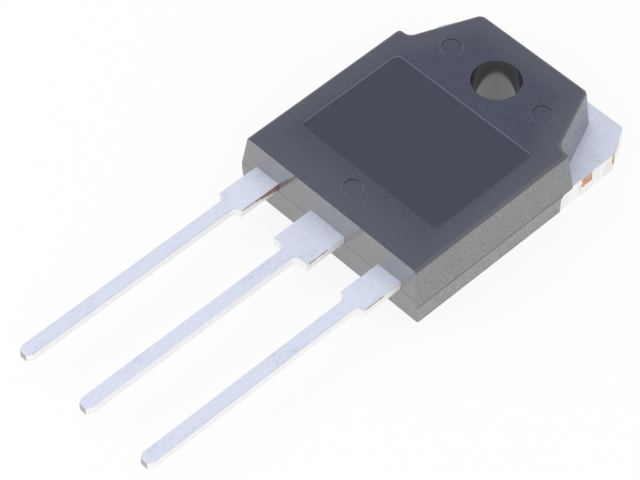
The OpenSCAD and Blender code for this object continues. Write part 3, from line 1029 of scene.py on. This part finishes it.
    def painted_sheen(self, mesh: Mesh, border: Array) -> Array:
        """Works out how far the border's painted sheen reaches at each vertex.

        With d the distance in plan from a side of the front's outline, t = 1 - d / reach limited to 0 and 1,
        and the share is t^2 (3 - 2 t) for the largest t of all the sides.

        Args:
            mesh: Finished moulding.
            border: Both ends of each side of the front's outline.

        Returns:
            Share of each vertex, 1 at the outline and 0 in the middle.
        """
        spots = np.empty(len(mesh.vertices) * 3)
        mesh.vertices.foreach_get("co", spots)
        start, end = border[:, 0], border[:, 1]
        run = end - start
        away = spots.reshape(-1, 1, 3)[:, :, :2] / MM - start
        along = np.clip((away * run).sum(2) / (run**2).sum(1), 0, 1)
        distance = np.linalg.norm(away - along[:, :, None] * run, axis=2)
        by_leads = border[:, :, 1].mean(1) < LEAD_FACE_Y + 1
        reach = np.where(by_leads, self.painted_sheen_by_leads, self.painted_sheen_reach)
        t = np.clip(1 - distance / reach, 0, 1).max(1)
        return t**2 * (3 - 2 * t)

    def build(self) -> Object:
        """Dresses a merged copy of the CAD moulding and gives it the new front."""
        copy = merged_copy("moulded_body")
        self.open_front(copy)
        self.taper_hole(copy)
        border = self.front(copy)
        mesh = to_mesh(copy, "epoxy_moulding")
        zones = self.zones(mesh)
        for face in MouldFace:
            mesh.materials.append(face.value.material())
        mesh.polygons.foreach_set("material_index", zones.astype(np.int32))
        # The painted sheen of the border is stored on the vertices
        mesh.attributes.new(PAINTED_SHEEN, "FLOAT", "POINT").data.foreach_set("value", self.painted_sheen(mesh, border))
        shade_by_angle(mesh)
        piece = new_piece("epoxy_moulding", mesh, "moulded_body")
        finish_edges(piece, 0.0)
        return piece


@dataclass
class SideLead:
    """Base or emitter lead, punched from the strip in one piece with its bonding post.

    Attributes:
        node: CAD node that the lead stands for.
        side: -1 for the base lead and 1 for the emitter lead.
        pitch: Distance from the middle lead.
        low: Height of the strip's lower face.
        high: Height of its upper face.
        narrow_w: Width of the narrow part.
        wide_w: Width of the wide part.
        neck_r: Radius between the two.
        corner_r: Radius of the other corners.
        sharp_r: Radius of the corners that the punch left sharp.
        tip: Width and length cut off each corner of the tip.
        wide_l: Length of the wide part outside the moulding.
        narrow_l: Length of the narrow part.
        post: Width, length, cover and shift of the bonding post.
        hole_r: Radius of the hole that anchors the post.
        edge: Section of the punched edge.
        sides: Finish of the punched sides.
    """

    node: str
    side: int
    pitch: float = 5.45
    low: float = 2.2
    high: float = 2.8
    narrow_w: float = 1.0
    wide_w: float = 2.04
    neck_r: float = 0.43
    corner_r: float = 0.1
    sharp_r: float = 0.06
    tip: Pair = (0.22, 0.36)
    wide_l: float = 3.1
    narrow_l: float = 16.8
    post: tuple[float, float, float, float] = (3.6, 1.4, 0.9, 0.1)
    hole_r: float = 0.3
    edge: StampedEdge = StampedEdge()
    sides: MetalFace = MetalFace.LEAD_SIDE

    def outlines(self) -> list[Array]:
        """Draws the lead's outline and the hole of its post.

        Returns:
            The outer outline, anticlockwise, and the hole, clockwise.
        """
        x = self.side * self.pitch
        post_w, post_l, cover, shift = self.post
        post_x = self.side * (self.pitch - shift)
        wide_y = LEAD_FACE_Y - self.wide_l
        tip_y = wide_y - self.narrow_l
        post_y = LEAD_FACE_Y + cover
        narrow, wide, half_post = self.narrow_w / 2, self.wide_w / 2, post_w / 2
        tip_w, tip_l = self.tip
        # Middle, half width, place along the lead and radius of each pair of corners, from post to tip
        pairs = [
            (post_x, half_post, post_y + post_l, self.corner_r),
            (post_x, half_post, post_y, self.corner_r),
            (x, wide, post_y, self.corner_r),
            (x, wide, wide_y, self.sharp_r),
            (x, narrow, wide_y, self.neck_r),
            (x, narrow, tip_y + tip_l, self.corner_r),
            (x, narrow - tip_w, tip_y, self.sharp_r),
        ]
        left = [(middle - half, y, radius) for middle, half, y, radius in pairs]
        right = [(middle + half, y, radius) for middle, half, y, radius in reversed(pairs)]
        turn = np.linspace(0, -2 * np.pi, 32, endpoint=False)
        hole_x = self.side * (self.pitch - shift + half_post - 2 * self.hole_r)
        hole_y = post_y + post_l / 2
        hole = np.column_stack([hole_x + self.hole_r * np.cos(turn), hole_y + self.hole_r * np.sin(turn)])
        return [rounded_outline(left + right), hole]

    def build(self) -> Object:
        """Makes the lead and plates it."""
        name = self.node + "_strip"
        mesh = stamped_plate(name, self.outlines(), self.edge.section(self.low, self.high))
        centre, normal = face_centres(mesh)
        up = np.abs(normal[:, 2])
        side_up, rolled_up, smooth = 0.3, 0.97, 30
        # Sideways faces take the side finish, whose near white is a painted reflection of the pale floor
        layers = [(MetalFace.ROLLED_EDGE, up < rolled_up), (self.sides, up < side_up)]
        tin(mesh, [*layers, (MetalFace.CUT_TIP, cut_tips(centre, normal))])
        shade_by_angle(mesh, smooth)
        return new_piece(name, mesh, self.node)


@dataclass
class Header:
    """Copper header in one piece with the bent collector lead.

    Attributes:
        edge_break: Width of its broken edges.
        lead_half: Half width of the strip in which the collector lead lies.
        lead_end: How far into the moulding that lead reaches.
    """

    edge_break: float = 0.03
    lead_half: float = 3.0
    lead_end: float = 5.0

    def build(self) -> Object:
        """Dresses a merged copy of the CAD header."""
        mesh = to_mesh(merged_copy("header_with_collector_lead"), "copper_header")
        centre, normal = face_centres(mesh)
        # Sideways faces of the header take the side finish with its painted floor reflection
        side = np.abs(normal[:, 2]) <= 0.5
        lead = (np.abs(centre[:, 0]) < self.lead_half) & (centre[:, 1] < LEAD_FACE_Y + self.lead_end)
        layers = [(MetalFace.HEADER_SIDE, side), (MetalFace.LEAD_SIDE, side & lead)]
        tin(mesh, [*layers, (MetalFace.CUT_TIP, cut_tips(centre, normal))])
        shade_by_angle(mesh)
        piece = new_piece("copper_header", mesh, "header_with_collector_lead")
        finish_edges(piece, self.edge_break)
        return piece


@dataclass
class Inside:
    """Chip, its solder and the bond wires, sealed in the moulding.

    Attributes:
        finishes: CAD node and finish of each piece.
    """

    finishes: tuple[tuple[str, MetalFace], ...] = (
        ("transistor_chip", MetalFace.SILICON),
        ("chip_solder", MetalFace.SOLDER),
        ("emitter_wire_1", MetalFace.WIRE),
        ("emitter_wire_2", MetalFace.WIRE),
        ("base_wire", MetalFace.WIRE),
    )

    def build(self) -> None:
        """Gives each hidden CAD node the material of the real piece."""
        for node, finish in self.finishes:
            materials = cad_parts[node].data.materials
            materials.clear()
            materials.append(finish.value.material())
            log.info("%s: %s", node, finish.value.name)


@dataclass
class Studio:
    """Camera at the photograph's angle, pale floor and soft light.

    Attributes:
        azimuth: Turn of the camera round the object, in degrees.
        elevation: Height of the camera over the horizon, in degrees.
        roll: Turn of the camera about its own axis, in degrees.
        distance: Camera to target.
        focal_px: Focal length in pixels of the photograph's frame.
        frame_px: Width of that frame in pixels.
        target: Point on the floor that the camera looks at.
        floor_half: Half width of the floor.
        floor_glow: Share of plain white in what the camera and reflections see of the floor.
        room: Light of the room at its horizon and overhead.
        boxes: Name, middle, side and power in watts of each soft box.
    """

    azimuth: float = 47.245
    elevation: float = 50.891
    roll: float = -1.126
    distance: float = 187.132
    focal_px: float = 2984.95
    frame_px: int = 640
    target: Triple = (-1.038, -14.559, 0.0)
    floor_half: float = 600.0
    floor_glow: float = 0.85
    room: Pair = (0.84, 0.88)
    boxes: tuple[tuple[str, Triple, float, float], ...] = (
        ("key_soft_box", (-190, -240, 290), 220, 0.32),
        ("side_soft_box", (300, -300, 170), 300, 0.5),
    )

    def camera(self) -> Object:
        """Sets up the camera: its axes are worked out from azimuth, elevation and roll."""
        a, e, r = np.radians([self.azimuth, self.elevation, self.roll])
        right = np.array([np.cos(a), np.sin(a), 0])
        back = np.array([np.sin(a) * np.cos(e), -np.cos(a) * np.cos(e), np.sin(e)])
        up = np.cross(back, right)
        across = np.cos(r) * right + np.sin(r) * up
        upright = np.cos(r) * up - np.sin(r) * right
        place = (np.array(self.target) + self.distance * back) * MM
        data = bpy.data.cameras.new("studio_camera")
        data.sensor_width = 36.0
        data.lens = self.focal_px / self.frame_px * data.sensor_width
        data.clip_start = 0.01
        data.clip_end = 10.0
        camera = new_object("studio_camera", data)
        matrix = np.eye(4)
        matrix[:3, :] = np.column_stack([across, upright, back, place])
        camera.matrix_world = Matrix(matrix.tolist())
        bpy.context.scene.camera = camera
        return camera

    def floor(self) -> Object:
        """Lays the pale floor, which shows white to the camera and in reflections but keeps a soft shadow."""
        half = self.floor_half * MM
        mesh = bpy.data.meshes.new("studio_floor")
        corners = [(-half, -half, 0), (half, -half, 0), (half, half, 0), (-half, half, 0)]
        mesh.from_pydata(corners, [], [(0, 1, 2, 3)])
        material, tree, output = new_material("pale_paper_floor")
        path = add_node(tree, "ShaderNodeLightPath")
        shown = path.outputs["Is Camera Ray"]
        for other in ("Is Glossy Ray", "Is Transmission Ray"):
            both = {0: shown, 1: path.outputs[other]}
            shown = add_node(tree, "ShaderNodeMath", both, operation="MAXIMUM").outputs[0]
        share = add_node(tree, "ShaderNodeMath", {0: shown, 1: self.floor_glow}, operation="MULTIPLY")
        paper = add_node(tree, "ShaderNodeBsdfDiffuse", {"Color": linear("#f4f4f5")})
        glow = add_node(tree, "ShaderNodeEmission", {"Color": linear("#ffffff"), "Strength": 1.0})
        layers = {0: share.outputs[0], 1: paper.outputs[0], 2: glow.outputs[0]}
        mix = add_node(tree, "ShaderNodeMixShader", layers)
        tree.links.new(mix.outputs[0], output.inputs["Surface"])
        mesh.materials.append(material)
        floor = new_object("studio_floor", mesh)
        return floor

    def lights(self) -> None:
        """Lights the object with an even pale room and the soft boxes."""
        world = bpy.data.worlds.new("studio_room")
        world.use_nodes = True
        tree = world.node_tree
        tree.nodes.clear()
        path = add_node(tree, "ShaderNodeLightPath")
        ray = add_node(tree, "ShaderNodeTexCoord").outputs["Generated"]
        height = add_node(tree, "ShaderNodeSeparateXYZ", {0: ray}).outputs["Z"]
        low, high = self.room
        span = {"Value": height, "From Min": 0.1, "From Max": 0.8, "To Min": low, "To Max": high}
        level = add_node(tree, "ShaderNodeMapRange", span, interpolation_type="SMOOTHSTEP").outputs["Result"]
        either = {0: path.outputs["Is Camera Ray"], 2: level, 3: 1.0}
        strength = add_node(tree, "ShaderNodeMix", either, data_type="FLOAT").outputs[0]
        shell = add_node(tree, "ShaderNodeBackground", {"Color": linear("#ffffff"), "Strength": strength})
        output = add_node(tree, "ShaderNodeOutputWorld")
        tree.links.new(shell.outputs[0], output.inputs["Surface"])
        bpy.context.scene.world = world
        for box in self.boxes:
            self.soft_box(*box)

    def soft_box(self, name: str, place_mm: Triple, side_mm: float, energy: float) -> Object:
        """Hangs a square soft box that points at the middle of the object.

        Args:
            name: Name of the lamp.
            place_mm: Middle of the lamp.
            side_mm: Side of its square.
            energy: Power of the lamp, in watts.

        Returns:
            The lamp.
        """
        data = bpy.data.lights.new(name, "AREA")
        data.shape = "SQUARE"
        data.size = side_mm * MM
        data.energy = energy
        lamp = new_object(name, data)
        lamp.location = tuple(c * MM for c in place_mm)
        lamp.rotation_mode = "QUATERNION"
        lamp.rotation_quaternion = (-lamp.location).to_track_quat("-Z", "Y")
        return lamp


def main() -> None:
    """Builds the studio and the transistor."""
    logging.basicConfig(level=logging.INFO, format="%(message)s")
    scene = bpy.context.scene
    scene.view_settings.view_transform = "Standard"

    studio = Studio()
    studio.camera()
    studio.floor()
    studio.lights()

    Moulding().build()
    Header().build()
    SideLead("base_lead", -1, sides=MetalFace.BASE_LEAD_SIDE).build()
    SideLead("emitter_lead", 1).build()
    Inside().build()


if __name__ == "__main__":
    main()
